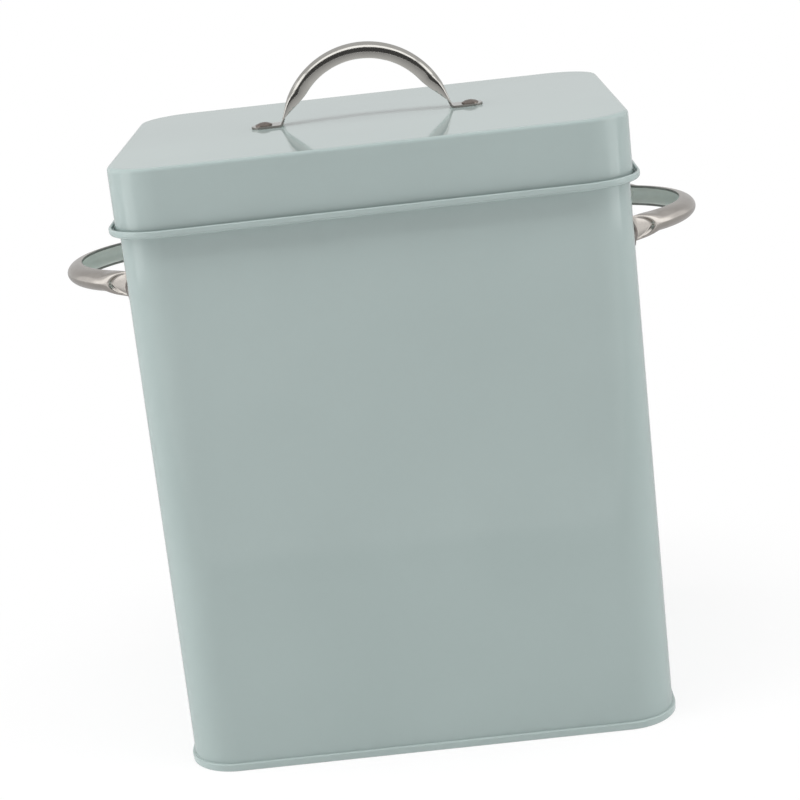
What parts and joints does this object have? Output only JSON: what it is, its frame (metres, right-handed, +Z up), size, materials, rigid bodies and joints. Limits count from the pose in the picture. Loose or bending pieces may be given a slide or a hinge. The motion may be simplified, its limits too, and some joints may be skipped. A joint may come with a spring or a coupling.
{
  "type": "metal laundry powder container",
  "caption": "Tall rounded sheet steel box for washing powder with a lift-off lid and riveted half-round bow handles.",
  "frame": {"origin": "middle of the base, on the surface that the container stands on", "axes": "+Z up through the lid's handle, +X to the right seen from the front along the wider walls, +Y towards the back"},
  "size_m": [0.3176, 0.1998, 0.3369],
  "materials": {
    "painted_steel": "semi-gloss powder coat, pale grey green",
    "bare_steel": "satin polished pressed stainless sheet",
    "rivet_steel": "satin, slightly darker than the handles"
  },
  "bodies": {
    "container": {"body_wall": "painted_steel", "base_pan": "painted_steel", "side_handle_left": "bare_steel", "side_handle_right": "bare_steel", "side_rivet_left_front": "rivet_steel", "side_rivet_left_back": "rivet_steel", "side_rivet_right_front": "rivet_steel", "side_rivet_right_back": "rivet_steel"},
    "lid": {"lid_shell": "painted_steel", "lid_handle": "bare_steel", "lid_rivet_left": "rivet_steel", "lid_rivet_right": "rivet_steel"}
  },
  "joints": [
    {"name": "lid_lift", "type": "slide", "parent": "container", "child": "lid", "axis": [0, 0, 1], "range_m": [0, 0.15]}
  ]
}
